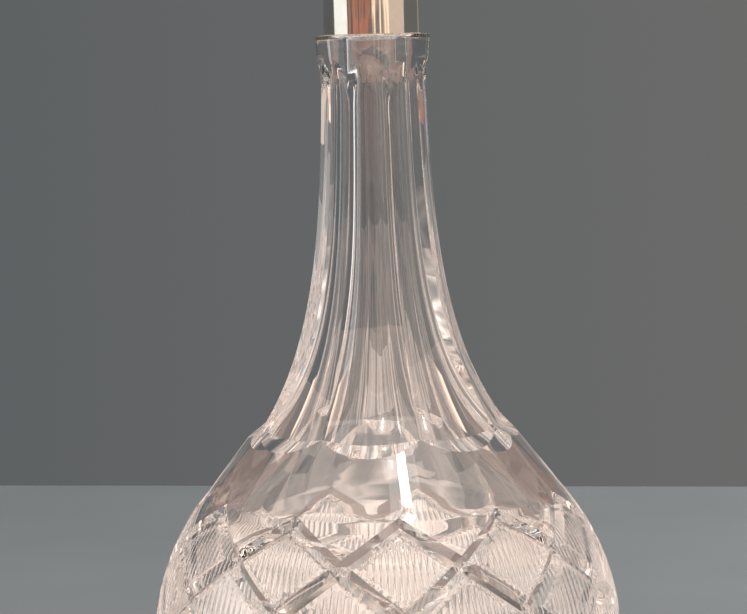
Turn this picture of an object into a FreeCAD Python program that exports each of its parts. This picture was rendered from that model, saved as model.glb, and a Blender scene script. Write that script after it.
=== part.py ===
"""Cut crystal decanter with a silver collar and a faceted ball stopper.

Frame: +Z up, origin at the centre of the base, on the surface that the decanter stands on. Millimetres.

The blown body is a globe on a flat foot. A straight cone, tangent to the globe, makes the shoulder, and an
exponential flare carries it up to a slender neck. Eight flat flutes are cut down the neck. Two families of
eleven V-shaped mitre cuts cross on the globe and leave lozenges. A star of twenty-two points is cut under the base.
A silver sleeve and lip are bedded in plaster on a reduced spigot at the top of the neck. The stopper's
ground plug sits in a tapered socket in that spigot and lifts straight out.
"""
import FreeCAD
import Part

import math
import os

from FreeCAD import Vector

# ---- Driving dimensions ------------------------------------------------------------------------------------
# Globe and foot
GLOBE_R = 67.5              # radius of the blown globe
GLOBE_Z = 54.2              # height of its widest place
FOOT_R = 38.5               # outer radius of the flat ring that it stands on
FOOT_BEVEL = 0.8            # height of the bevel between that ring and the globe
DISH_R = 31.0               # inner radius of the ring, where the dished underside starts
DISH_DEPTH = 2.0

# Shoulder and neck, outside
SHOULDER_SLOPE = 0.786      # radius lost per unit of height on the shoulder cone
SHOULDER_TOP_Z = 114.6      # where the cone turns into the flare
NECK_R = 14.5               # radius that the flare settles to
RING_Z = 217.0              # start of the plain ring above the flutes
RING_R = 15.0
LEDGE_Z = 228.6             # ledge that the collar stands on
LEDGE_R = 15.8

# Inside
CAVITY_R = 61.6
CAVITY_Z = 55.2
CAVITY_TILT = 33.0          # latitude at which the cavity's globe turns into its shoulder, in degrees
CAVITY_BEND = 32.0          # radius of that turn
CAVITY_SLOPE = 1.0          # radius lost per unit of height on the cavity's shoulder cone
CAVITY_TOP_Z = 110.0        # where that cone turns into the bore's flare
FLOOR_Z = 11.0              # top of the thick base
FLOOR_FILLET = 22.0
BORE_R = 7.0

# Spigot and ground socket
SPIGOT_R = 12.9
SPIGOT_TOP_Z = 251.0
SOCKET_BOTTOM_Z = 229.5
SOCKET_TOP_R = 9.4
SOCKET_BOTTOM_R = 8.5
SOCKET_STEP = 1.2           # height of the cone from the socket down to the bore

# Neck flutes
FLUTES = 8
FLUTE_TURN = -6.0           # azimuth of one flute's centre from the front (-Y), in degrees
FLUTE_FOOT_Z = 118.4        # foot of each arris, where the shelf starts
FLUTE_TIP_Z = 114.4         # where the shelf leaves the glass
FLUTE_HEAD_Z = 214.0        # head of each arris
FLUTE_APEX_Z = 221.5        # top of each flute's arch

# Mitre cuts
LOZENGES = 11               # lozenges around the globe
MITRE_TURN = 4.2273         # azimuth of one lozenge's top corner from the front, in degrees
MITRE_TOP = 0.77            # conformal latitude of the highest corners
MITRE_BOTTOM = -0.628       # the same for the lowest ones
MITRE_ROWS = 3              # lozenges that one cut passes on its way down
MITRE_HALF_WIDTH = 2.4
MITRE_DEPTH = 1.7
MITRE_CLEAR = 1.0           # how far the cutting tool stands out of the glass

# Star under the base
STAR_POINTS = 22
STAR_R = 27.0
STAR_FLOOR = 3.4            # height of the star's floor at the centre
STAR_HALF_ANGLE = 55.0

# Silver collar
SLEEVE_R = 13.75
SLEEVE_WALL = 0.5
SLEEVE_TOP_Z = 252.0
LIP_BEAD_R = 1.3            # radius of the rounded bead round the lip
LIP_REACH = 1.1             # how far the bead's centre stands outside the sleeve's face
LIP_TOP_Z = 254.4
LIP_MOUTH_R = 10.1
LIP_SHEET = 0.7

# Stopper
PLUG_GAP = 0.25             # radial clearance in the socket
PLUG_BOTTOM_Z = 230.6
PLUG_EDGE = 0.8
STEM_R = 8.2
STEM_Z = 256.6              # narrowest place, between the plug and the ball
STEM_END_R = 10.5           # end of the stem, inside the ball
STEM_END_Z = 262.5
BALL_R = 21.0
BALL_Z = 278.0
FACET_ROWS = (-56.0, -28.0, 0.0, 28.0, 56.0)  # latitudes of the rows of facets
FACET_COUNT = 10
FACET_TURN = 7.5            # azimuth of one facet in every other row of facets
FACET_INSET = 0.935         # distance of a facet from the ball's centre, over BALL_R
TABLE_INSET = 0.93          # the same for the flat table on top

CURVE_POINTS = 9            # points that carry a formula into a smooth curve
FRONT = -90.0               # direction of -Y, in degrees from +X
PARTS = "parts"


# ---- Helpers -----------------------------------------------------------------------------------------------
def point(r, z):
    """A point of a lathe outline, in the XZ plane."""
    return Vector(r, 0, z)


def line(a, b):
    """A straight edge."""
    return Part.LineSegment(a, b).toShape()


def smooth(points):
    """One smooth edge through points."""
    curve = Part.BSplineCurve()
    curve.interpolate(points)
    return curve.toShape()


def arc(a, middle, b):
    """A circular edge from a to b through middle."""
    return Part.Arc(a, middle, b).toShape()


def globe_arc(radius, centre_z, z_from, z_to):
    """The arc of a circle about the axis at centre_z, on the outline between two heights."""
    def on(z):
        return point(math.sqrt(radius ** 2 - (z - centre_z) ** 2), z)
    low = math.asin((z_from - centre_z) / radius)
    high = math.asin((z_to - centre_z) / radius)
    return arc(on(z_from), on(centre_z + radius * math.sin((low + high) / 2)), on(z_to))


def globe_point(radius, centre_r, centre_z, tilt):
    """The point of a circle in the outline's plane at that many degrees above its centre."""
    angle = math.radians(tilt)
    return point(centre_r + radius * math.cos(angle), centre_z + radius * math.sin(angle))


def slope_point(radius, centre_z, slope):
    """(radius, height) where a circle about the axis loses that much radius per unit of height."""
    r = radius / math.hypot(1, slope)
    return r, centre_z + r * slope


def lathe(edges):
    """The solid that a closed outline in the XZ plane sweeps about the Z axis."""
    face = Part.Face(Part.Wire(edges))
    return face.revolve(Vector(0, 0, 0), Vector(0, 0, 1), 360)


def around(shape, angle):
    """A copy of shape, turned about the Z axis."""
    turned = shape.copy()
    turned.rotate(Vector(0, 0, 0), Vector(0, 0, 1), angle)
    return turned


# ---- Outlines ----------------------------------------------------------------------------------------------
GLOBE_END_R, GLOBE_END_Z = slope_point(GLOBE_R, GLOBE_Z, SHOULDER_SLOPE)
FLARE_START_R = GLOBE_END_R - SHOULDER_SLOPE * (SHOULDER_TOP_Z - GLOBE_END_Z)
CAVITY_EDGE = globe_point(CAVITY_R, 0, CAVITY_Z, CAVITY_TILT)
BEND_CENTRE = globe_point(CAVITY_R - CAVITY_BEND, 0, CAVITY_Z, CAVITY_TILT)
BEND_END = globe_point(CAVITY_BEND, BEND_CENTRE.x, BEND_CENTRE.z, math.degrees(math.atan(CAVITY_SLOPE)))
CAVITY_TOP_R = BEND_END.x - CAVITY_SLOPE * (CAVITY_TOP_Z - BEND_END.z)


def flare(z, start_r, start_z, end_r, slope):
    """Radius of an exponential flare that leaves start_r with that slope and settles to end_r."""
    drop = start_r - end_r
    return end_r + drop * math.exp(-(z - start_z) * slope / drop)


def neck_radius(z):
    """Outer radius of the uncut neck."""
    return flare(z, FLARE_START_R, SHOULDER_TOP_Z, NECK_R, SHOULDER_SLOPE)


def bore_radius(z):
    """Radius of the bore below the socket."""
    return flare(z, CAVITY_TOP_R, CAVITY_TOP_Z, BORE_R, CAVITY_SLOPE)


def heights(low, high, count=CURVE_POINTS):
    """Evenly spaced heights."""
    return [low + (high - low) * i / (count - 1) for i in range(count)]


def blown_body():
    """The body before it is cut: the globe, shoulder, neck, ring and spigot, with the cavity and bore."""
    bevel_r = math.sqrt(GLOBE_R ** 2 - (GLOBE_Z - FOOT_BEVEL) ** 2)
    dish_middle = point(DISH_R / 2, DISH_DEPTH * 0.75)
    neck = [point(neck_radius(z), z) for z in heights(SHOULDER_TOP_Z, RING_Z)]
    outer = [
        arc(point(0, DISH_DEPTH), dish_middle, point(DISH_R, 0)),
        line(point(DISH_R, 0), point(FOOT_R, 0)),
        line(point(FOOT_R, 0), point(bevel_r, FOOT_BEVEL)),
        globe_arc(GLOBE_R, GLOBE_Z, FOOT_BEVEL, GLOBE_END_Z),
        line(point(GLOBE_END_R, GLOBE_END_Z), neck[0]),
        smooth(neck),
        line(neck[-1], point(LEDGE_R, LEDGE_Z)),
        line(point(LEDGE_R, LEDGE_Z), point(SPIGOT_R, LEDGE_Z)),
        line(point(SPIGOT_R, LEDGE_Z), point(SPIGOT_R, SPIGOT_TOP_Z)),
        line(point(SPIGOT_R, SPIGOT_TOP_Z), point(SOCKET_TOP_R, SPIGOT_TOP_Z)),
    ]
    fillet_z = FLOOR_Z + FLOOR_FILLET
    fillet_r = math.sqrt((CAVITY_R - FLOOR_FILLET) ** 2 - (CAVITY_Z - fillet_z) ** 2)
    tilt = math.atan2(CAVITY_Z - fillet_z, fillet_r)
    half = (tilt + math.pi / 2) / 2
    wall = point(CAVITY_R * math.cos(tilt), CAVITY_Z - CAVITY_R * math.sin(tilt))
    bend = point(fillet_r + FLOOR_FILLET * math.cos(half), fillet_z - FLOOR_FILLET * math.sin(half))
    bore_top_z = SOCKET_BOTTOM_Z - SOCKET_STEP
    bore = [point(bore_radius(z), z) for z in heights(CAVITY_TOP_Z, bore_top_z)]
    bend_tilt = (CAVITY_TILT + math.degrees(math.atan(CAVITY_SLOPE))) / 2
    bend_middle = globe_point(CAVITY_BEND, BEND_CENTRE.x, BEND_CENTRE.z, bend_tilt)
    inner = [
        line(point(SOCKET_TOP_R, SPIGOT_TOP_Z), point(SOCKET_BOTTOM_R, SOCKET_BOTTOM_Z)),
        line(point(SOCKET_BOTTOM_R, SOCKET_BOTTOM_Z), bore[-1]),
        smooth(bore),
        line(bore[0], BEND_END),
        arc(BEND_END, bend_middle, CAVITY_EDGE),
        globe_arc(CAVITY_R, CAVITY_Z, wall.z, CAVITY_EDGE.z),
        arc(wall, bend, point(fillet_r, FLOOR_Z)),
        line(point(fillet_r, FLOOR_Z), point(0, FLOOR_Z)),
        line(point(0, FLOOR_Z), point(0, DISH_DEPTH)),
    ]
    return lathe(outer + inner)


# ---- Cuts --------------------------------------------------------------------------------------------------
def flute_cutter():
    """What one flute takes away, about the +X direction: everything outside a flat panel that follows the
    neck's flare, runs out in an arch below the ring and ends on a shelf at the shoulder."""
    to_flat = math.cos(math.pi / FLUTES)
    floor = [point(neck_radius(z) * to_flat, z) for z in heights(FLUTE_FOOT_Z, FLUTE_HEAD_Z)]
    outside = GLOBE_R
    tip = point(neck_radius(FLUTE_TIP_Z) + MITRE_CLEAR, FLUTE_TIP_Z)
    apex = point(RING_R + 0.1, FLUTE_APEX_Z)
    face = Part.Face(Part.Wire([
        line(tip, floor[0]),
        smooth(floor),
        line(floor[-1], apex),
        line(apex, point(outside, FLUTE_APEX_Z)),
        line(point(outside, FLUTE_APEX_Z), point(outside, FLUTE_TIP_Z)),
        line(point(outside, FLUTE_TIP_Z), tip),
    ]))
    width = neck_radius(FLUTE_FOOT_Z)
    face.translate(Vector(0, -width / 2, 0))
    return face.extrude(Vector(0, width, 0))


def latitude(conformal):
    """Latitude of a conformal (Mercator) latitude, in radians, so that straight lines keep their angle."""
    return 2 * math.atan(math.exp(conformal)) - math.pi / 2


def mitre_cutter(hand):
    """A V-section bar along the line that crosses the globe from the highest corner, at azimuth 0, to the
    lowest. hand is 1 or -1 for the two families."""
    corners = 2 * MITRE_ROWS
    sections = []
    samples = 4 * corners
    for i in range(samples + 1):
        share = i / samples
        azimuth = hand * share * corners * math.pi / LOZENGES
        lat = latitude(MITRE_TOP + (MITRE_BOTTOM - MITRE_TOP) * share)
        outward = Vector(math.cos(lat) * math.cos(azimuth), math.cos(lat) * math.sin(azimuth), math.sin(lat))
        east = Vector(-math.sin(azimuth), math.cos(azimuth), 0)
        north = outward.cross(east) * -1
        turn = hand * corners * math.pi / LOZENGES
        along = (east * turn + north * (MITRE_TOP - MITRE_BOTTOM)).normalize()
        across = outward.cross(along)
        centre = outward * GLOBE_R + Vector(0, 0, GLOBE_Z)
        half = MITRE_HALF_WIDTH * (MITRE_DEPTH + MITRE_CLEAR) / MITRE_DEPTH
        rim = centre + outward * MITRE_CLEAR
        sections.append((rim + across * half, centre - outward * MITRE_DEPTH, rim - across * half))
    wires = [Part.makePolygon([a, b, c, a]) for a, b, c in sections]
    return Part.makeLoft(wires, True, False)


def star_cutter():
    """A V-edged wheel that cuts two opposite points of the star, along the X direction."""
    dish_at_tip = DISH_DEPTH * (1 - (STAR_R / DISH_R) ** 2)
    wheel_r = (STAR_R ** 2 + (STAR_FLOOR - dish_at_tip) ** 2) / (2 * (STAR_FLOOR - dish_at_tip))
    centre_z = STAR_FLOOR - wheel_r
    rim = 6.0
    half = rim * math.tan(math.radians(STAR_HALF_ANGLE))
    edge = Vector(0, 0, centre_z + wheel_r)
    left = Vector(0, -half, centre_z + wheel_r - rim)
    right = Vector(0, half, centre_z + wheel_r - rim)
    face = Part.Face(Part.makePolygon([edge, left, right, edge]))
    return face.revolve(Vector(0, 0, centre_z), Vector(0, 1, 0), 360)


def crystal_body():
    """The blown body with its flutes, mitres and star cut into it."""
    body = blown_body()
    for i in range(FLUTES):
        body = body.cut(around(flute_cutter(), FRONT + FLUTE_TURN + 360.0 * i / FLUTES))
    for i in range(STAR_POINTS // 2):
        body = body.cut(around(star_cutter(), FRONT + MITRE_TURN + 360.0 * i / STAR_POINTS))
    for hand in (1, -1):
        bar = mitre_cutter(hand)
        for i in range(LOZENGES):
            body = body.cut(around(bar, FRONT + MITRE_TURN + 360.0 * i / LOZENGES))
    return body


# ---- Silver collar -----------------------------------------------------------------------------------------
def collar_sleeve():
    """The silver tube round the spigot, standing on the ledge."""
    height = SLEEVE_TOP_Z - LEDGE_Z
    foot = Vector(0, 0, LEDGE_Z)
    inside = Part.makeCylinder(SLEEVE_R - SLEEVE_WALL, height, foot)
    return Part.makeCylinder(SLEEVE_R, height, foot).cut(inside)


def collar_lip():
    """The silver lip: a flat ring over the rim that ends in a round bead."""
    top = SLEEVE_TOP_Z + LIP_SHEET
    bead = point(SLEEVE_R + LIP_REACH, LIP_TOP_Z - LIP_BEAD_R)
    start = point(bead.x - math.sqrt(LIP_BEAD_R ** 2 - (bead.z - top) ** 2), top)
    end = point(bead.x - math.sqrt(LIP_BEAD_R ** 2 - (bead.z - SLEEVE_TOP_Z) ** 2), SLEEVE_TOP_Z)
    return lathe([
        line(point(LIP_MOUTH_R, SLEEVE_TOP_Z), point(LIP_MOUTH_R, top)),
        line(point(LIP_MOUTH_R, top), start),
        arc(start, point(bead.x + LIP_BEAD_R, bead.z), end),
        line(end, point(LIP_MOUTH_R, SLEEVE_TOP_Z)),
    ])


def collar_plaster():
    """The plaster bed that fills the gap between the spigot and the collar, beside it and on top of it."""
    inside = SLEEVE_R - SLEEVE_WALL
    corners = [
        point(SPIGOT_R, LEDGE_Z), point(inside, LEDGE_Z), point(inside, SLEEVE_TOP_Z),
        point(LIP_MOUTH_R, SLEEVE_TOP_Z), point(LIP_MOUTH_R, SPIGOT_TOP_Z), point(SPIGOT_R, SPIGOT_TOP_Z),
    ]
    return lathe([line(corners[i - 1], corners[i]) for i in range(len(corners))])


# ---- Stopper -----------------------------------------------------------------------------------------------
def socket_radius(z):
    """Radius of the ground socket."""
    taper = (SOCKET_TOP_R - SOCKET_BOTTOM_R) / (SPIGOT_TOP_Z - SOCKET_BOTTOM_Z)
    return SOCKET_BOTTOM_R + taper * (z - SOCKET_BOTTOM_Z)


def faceted_ball():
    """A ball ground flat all over: staggered rows of facets and a table on top."""
    ball = Part.makeSphere(BALL_R)
    size = 2 * BALL_R

    def flat(lat, azimuth, inset):
        slab = Part.makeBox(size, size, size, Vector(-BALL_R, -BALL_R, BALL_R * inset))
        slab.rotate(Vector(0, 0, 0), Vector(0, 1, 0), 90 - lat)
        return around(slab, azimuth)
    for row, lat in enumerate(FACET_ROWS):
        for i in range(FACET_COUNT):
            azimuth = FRONT + FACET_TURN + 360.0 * (i + row % 2 / 2) / FACET_COUNT
            ball = ball.cut(flat(lat, azimuth, FACET_INSET))
    ball = ball.cut(flat(90.0, 0, TABLE_INSET))
    ball.translate(Vector(0, 0, BALL_Z))
    return ball


def stopper():
    """The stopper: a ground plug, a waisted stem and a faceted ball."""
    low = PLUG_BOTTOM_Z + PLUG_EDGE
    low_r = socket_radius(low) - PLUG_GAP
    top = SLEEVE_TOP_Z
    top_r = socket_radius(top) - PLUG_GAP
    stem_end = point(STEM_END_R, STEM_END_Z)
    plug = lathe([
        line(point(0, PLUG_BOTTOM_Z), point(low_r - PLUG_EDGE, PLUG_BOTTOM_Z)),
        line(point(low_r - PLUG_EDGE, PLUG_BOTTOM_Z), point(low_r, low)),
        line(point(low_r, low), point(top_r, top)),
        arc(point(top_r, top), point(STEM_R, STEM_Z), stem_end),
        line(stem_end, point(0, STEM_END_Z)),
        line(point(0, STEM_END_Z), point(0, PLUG_BOTTOM_Z)),
    ])
    return plug.fuse(faceted_ball()).removeSplitter()


def write(shape, name):
    """Writes one node, after checking that it is a closed solid."""
    if not shape.isValid() or shape.Volume <= 0:
        raise ValueError(name + " is not a valid solid")
    shape.exportStep(os.path.join(PARTS, name + ".step"))
    print(name, "solids", len(shape.Solids), "faces", len(shape.Faces), "volume", round(shape.Volume, 1))


if __name__ == "__main__":
    os.makedirs(PARTS, exist_ok=True)
    write(crystal_body(), "crystal_body")
    write(collar_sleeve(), "collar_sleeve")
    write(collar_lip(), "collar_lip")
    write(collar_plaster(), "collar_plaster")
    write(stopper(), "stopper")
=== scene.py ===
"""Looks of a cut crystal decanter with a silver collar and a faceted ball stopper.

Sizes are in millimetres in the classes below and turn to metres when a mesh is made. Azimuths are in degrees
from the front, positive to the right as one faces the decanter.
"""
import logging
import math
from dataclasses import dataclass, field
from enum import Enum
from typing import Any, Sequence

import bmesh
import bpy
import numpy as np
from mathutils import Matrix, Vector


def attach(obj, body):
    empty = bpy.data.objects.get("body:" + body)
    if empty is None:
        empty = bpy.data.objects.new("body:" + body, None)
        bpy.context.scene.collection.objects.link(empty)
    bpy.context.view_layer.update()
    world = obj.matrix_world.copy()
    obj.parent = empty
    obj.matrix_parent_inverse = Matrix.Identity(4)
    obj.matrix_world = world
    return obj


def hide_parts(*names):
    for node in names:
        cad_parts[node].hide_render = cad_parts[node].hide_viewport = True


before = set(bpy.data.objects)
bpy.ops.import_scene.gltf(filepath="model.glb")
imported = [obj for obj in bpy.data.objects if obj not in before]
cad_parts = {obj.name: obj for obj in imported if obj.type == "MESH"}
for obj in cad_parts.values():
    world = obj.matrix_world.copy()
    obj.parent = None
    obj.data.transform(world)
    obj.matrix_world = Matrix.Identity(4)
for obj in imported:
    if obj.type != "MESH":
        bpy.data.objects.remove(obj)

LOG = logging.getLogger("decanter")
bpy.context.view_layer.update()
MM = 0.001
COLUMNS = 176               # columns of every ring of the body: 22 per flute and 16 per lozenge
FIRST_AZIMUTH = 4.2273      # azimuth of the first point of every ring, which is a lozenge's top corner
EASE = 0.15                 # how far an edge of glass or silver is eased, in mm
BOUNCES = 64                # cut glass passes light on between many facets
Array = np.ndarray


# ---- Colours and shader nodes ------------------------------------------------------------------------------
def linear(hex_colour: str, alpha: float = 1.0) -> tuple[float, float, float, float]:
    """Turns an sRGB hex colour to linear light.

    Args:
        hex_colour: such as "#F2EFE9".
        alpha: the fourth value.
    Returns:
        Red, green, blue and alpha.
    """
    values = [int(hex_colour[i:i + 2], 16) / 255 for i in (1, 3, 5)]
    light = [v / 12.92 if v <= 0.04045 else ((v + 0.055) / 1.055) ** 2.4 for v in values]
    return light[0], light[1], light[2], alpha


def add(tree: bpy.types.NodeTree, kind: str, settings: dict[str, Any] | None = None,
        inputs: dict[Any, Any] | None = None) -> bpy.types.Node:
    """Adds one node.

    Args:
        tree: the tree that it goes in.
        kind: the node's type name.
        settings: attributes of the node.
        inputs: socket name or number to a value, or to the output socket that feeds it.
    Returns:
        The new node.
    """
    node = tree.nodes.new(kind)
    for name, value in (settings or {}).items():
        setattr(node, name, value)
    for name, value in (inputs or {}).items():
        if isinstance(value, bpy.types.NodeSocket):
            tree.links.new(value, node.inputs[name])
        else:
            node.inputs[name].default_value = value
    return node


def ramp(tree: bpy.types.NodeTree, factor: bpy.types.NodeSocket,
         stops: Sequence[tuple[float, tuple[float, float, float, float]]]) -> bpy.types.NodeSocket:
    """Adds a colour ramp.

    Args:
        tree: the material's tree.
        factor: the socket that feeds it.
        stops: place from 0 to 1 and colour of each stop.
    Returns:
        The socket of its colour.
    """
    node = add(tree, "ShaderNodeValToRGB", inputs={"Fac": factor})
    elements = node.color_ramp.elements
    elements[0].position, elements[0].color = stops[0]
    elements[1].position, elements[1].color = stops[-1]
    for place, colour in stops[1:-1]:
        elements.new(place).color = colour
    return node.outputs["Color"]


def grey(value: float) -> tuple[float, float, float, float]:
    """A grey ramp stop, for a ramp that carries a number."""
    return value, value, value, 1.0


def noise(tree: bpy.types.NodeTree, place: bpy.types.NodeSocket, size_mm: float, detail: float,
          roughness: float = 0.5) -> bpy.types.NodeSocket:
    """Adds noise.

    Args:
        tree: the material's tree.
        place: the coordinates that it is taken at.
        size_mm: how far across a blotch is.
        detail: number of finer octaves.
        roughness: weight of the finer octaves.
    Returns:
        The socket of its value, from 0 to 1.
    """
    node = add(tree, "ShaderNodeTexNoise", inputs={
        "Vector": place, "Scale": 1 / (size_mm * MM), "Detail": detail, "Roughness": roughness})
    return node.outputs["Fac"]


def bump(tree: bpy.types.NodeTree, height: bpy.types.NodeSocket, depth_mm: float, strength: float = 1.0,
         under: bpy.types.NodeSocket | None = None) -> bpy.types.NodeSocket:
    """Adds a relief, on top of the one under it.

    Args:
        tree: the material's tree.
        height: the socket of the relief, from 0 to 1.
        depth_mm: depth of the relief.
        strength: how much of it shows.
        under: the normal of the relief under it.
    Returns:
        The socket of the new normal.
    """
    node = add(tree, "ShaderNodeBump", inputs={
        "Height": height, "Strength": strength, "Distance": depth_mm * MM})
    if under is not None:
        tree.links.new(under, node.inputs["Normal"])
    return node.outputs["Normal"]


def new_material(name: str) -> tuple[bpy.types.Material, bpy.types.NodeTree, bpy.types.NodeSocket]:
    """Makes an empty node material.

    Args:
        name: the material's name.
    Returns:
        The material, its tree and the piece's own coordinates.
    """
    material = bpy.data.materials.new(name)
    material.use_nodes = True
    tree = material.node_tree
    tree.nodes.clear()
    return material, tree, add(tree, "ShaderNodeTexCoord").outputs["Object"]


def surface(tree: bpy.types.NodeTree, inputs: dict[str, Any]) -> None:
    """Ends a material with a Principled shader that has these inputs."""
    shader = add(tree, "ShaderNodeBsdfPrincipled", inputs=inputs)
    add(tree, "ShaderNodeOutputMaterial", inputs={"Surface": shader.outputs["BSDF"]})


# ---- Finishes ----------------------------------------------------------------------------------------------
@dataclass(frozen=True)
class CutCrystal:
    """Lead crystal, blown, cut on wheels and acid polished: colourless, very clear and brighter than window
    glass, with a faint ripple from the wheels and the polish in every surface."""
    name: str = "lead crystal, wheel cut and acid polished"
    tint: str = "#FCFBFA"
    ior: float = 1.555              # 24 per cent lead crystal
    ripple_mm: float = 5.0          # length of the ripple that the wheels leave
    ripple_height_mm: float = 0.012

    def make(self) -> bpy.types.Material:
        """Builds the material.

        Returns:
            The material.
        """
        material, tree, place = new_material(self.name)
        ripple = noise(tree, place, self.ripple_mm, 1.0)
        surface(tree, {
            "Base Color": linear(self.tint), "Roughness": 0.0, "IOR": self.ior, "Transmission Weight": 1.0,
            "Normal": bump(tree, ripple, self.ripple_height_mm)})
        return material


@dataclass(frozen=True)
class GroundCrystal:
    """Crystal ground with fine emery and left unpolished, as in a stopper's socket: a soft grey frost."""
    name: str = "lead crystal, ground with fine emery"
    tint: str = "#F1F2F1"
    ior: float = 1.555
    grit_mm: float = 0.35           # drawn coarser than real emery marks, so that the frost shows
    grit_depth_mm: float = 0.02
    finest: float = 0.28            # roughness of the finest ground patches
    coarsest: float = 0.42

    def make(self) -> bpy.types.Material:
        """Builds the material.

        Returns:
            The material.
        """
        material, tree, place = new_material(self.name)
        grit = noise(tree, place, self.grit_mm, 3.0)
        surface(tree, {
            "Base Color": linear(self.tint), "IOR": self.ior, "Transmission Weight": 1.0,
            "Roughness": ramp(tree, grit, [(0.3, grey(self.finest)), (0.7, grey(self.coarsest))]),
            "Normal": bump(tree, grit, self.grit_depth_mm, 0.4)})
        return material


@dataclass(frozen=True)
class PolishedSilver:
    """Sterling silver, spun, hand polished and worn by cleaning: a mirror with hairlines round the piece,
    soft dents a few millimetres across and a warm bloom of tarnish."""
    name: str = "sterling silver, spun and hand polished"
    bright: str = "#F3F0EA"
    worn: str = "#ECE5D8"
    tarnish: str = "#C9B79C"
    hairline_mm: float = 0.25       # drawn coarser than real polishing marks, so that they show
    hairline_depth_mm: float = 0.004
    stretch: float = 12.0           # length of a hairline over its width
    dent_mm: float = 7.0
    dent_depth_mm: float = 0.05
    bloom_mm: float = 11.0
    polished: float = 0.045         # roughness where it is bright
    dulled: float = 0.13            # roughness where it is tarnished

    def make(self) -> bpy.types.Material:
        """Builds the material.

        Returns:
            The material.
        """
        material, tree, place = new_material(self.name)
        squash = add(tree, "ShaderNodeMapping", inputs={"Vector": place, "Scale": (1.0, 1.0, self.stretch)})
        hairs = noise(tree, squash.outputs["Vector"], self.hairline_mm * self.stretch, 4.0)
        dents = noise(tree, place, self.dent_mm, 0.0)
        bloom = noise(tree, place, self.bloom_mm, 5.0, 0.6)
        surface(tree, {
            "Metallic": 1.0,
            "Base Color": ramp(tree, bloom, [
                (0.35, linear(self.bright)), (0.6, linear(self.worn)), (0.8, linear(self.tarnish))]),
            "Roughness": ramp(tree, bloom, [(0.35, grey(self.polished)), (0.75, grey(self.dulled))]),
            "Normal": bump(tree, hairs, self.hairline_depth_mm, 0.25,
                           bump(tree, dents, self.dent_depth_mm))})
        return material


@dataclass(frozen=True)
class BeddingPlaster:
    """Plaster of Paris, run in wet under the collar and left to set: chalky and off-white."""
    name: str = "plaster of Paris, run in and set"
    pale: str = "#E4DFD3"
    stained: str = "#C9BFA9"
    roughness: float = 0.85
    grain_mm: float = 0.6
    grain_depth_mm: float = 0.05

    def make(self) -> bpy.types.Material:
        """Builds the material.

        Returns:
            The material.
        """
        material, tree, place = new_material(self.name)
        grain = noise(tree, place, self.grain_mm, 4.0)
        surface(tree, {
            "Base Color": ramp(tree, grain, [(0.35, linear(self.stained)), (0.65, linear(self.pale))]),
            "Roughness": self.roughness, "Normal": bump(tree, grain, self.grain_depth_mm, 0.6)})
        return material


@dataclass(frozen=True)
class PaintedTable:
    """Eggshell paint on a board, rolled: pale grey with the fine orange peel of the roller."""
    name: str = "eggshell paint, rolled on board"
    pale: str = "#727F87"
    deep: str = "#6D7A82"
    roughness: float = 0.55
    peel_mm: float = 2.5
    peel_depth_mm: float = 0.05
    cloud_mm: float = 90.0          # patches where the paint lies a little deeper

    def make(self) -> bpy.types.Material:
        """Builds the material.

        Returns:
            The material.
        """
        material, tree, place = new_material(self.name)
        cloud = noise(tree, place, self.cloud_mm, 2.0)
        peel = noise(tree, place, self.peel_mm, 2.0)
        surface(tree, {
            "Base Color": ramp(tree, cloud, [(0.3, linear(self.deep)), (0.7, linear(self.pale))]),
            "Roughness": self.roughness, "Normal": bump(tree, peel, self.peel_depth_mm, 0.3)})
        return material


class Finish(Enum):
    """The finishes that the pieces are dressed in."""
    CRYSTAL = CutCrystal()
    GROUND = GroundCrystal()
    SILVER = PolishedSilver()
    PLASTER = BeddingPlaster()
    TABLE = PaintedTable()


class Wardrobe:
    """Makes each finish once and hands out its material."""

    def __init__(self) -> None:
        """Starts with nothing made."""
        self.made: dict[Finish, bpy.types.Material] = {}

    def material(self, finish: Finish) -> bpy.types.Material:
        """The material of a finish.

        Args:
            finish: which finish.
        Returns:
            Its material.
        """
        if finish not in self.made:
            self.made[finish] = finish.value.make()
        return self.made[finish]


# ---- Meshes ------------------------------------------------------------------------------------------------
def around(radius: Array, height: Array, azimuth: Array) -> Array:
    """Points at radius and height, turned to azimuth: x is radius times its sine, y is minus its cosine.

    Args:
        radius: in mm, any shape.
        height: in mm, the same shape.
        azimuth: in degrees, the same shape.
    Returns:
        One row of x, y, z per point, in mm.
    """
    angle = np.radians(azimuth)
    return np.stack([radius * np.sin(angle), -radius * np.cos(angle), height], axis=-1).reshape(-1, 3)


def ring_quads(rows: int, columns: int, first: int = 0) -> Array:
    """Four-cornered faces between closed rings that are stored one after another.

    Args:
        rows: how many rings.
        columns: points in each ring.
        first: number of the first point.
    Returns:
        Corners of (rows - 1) * columns faces.
    """
    row = np.arange(rows - 1)[:, None] * columns + first
    here = np.arange(columns)[None, :]
    there = (here + 1) % columns
    return np.stack([row + here, row + there, row + columns + there, row + columns + here], -1).reshape(-1, 4)


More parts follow.
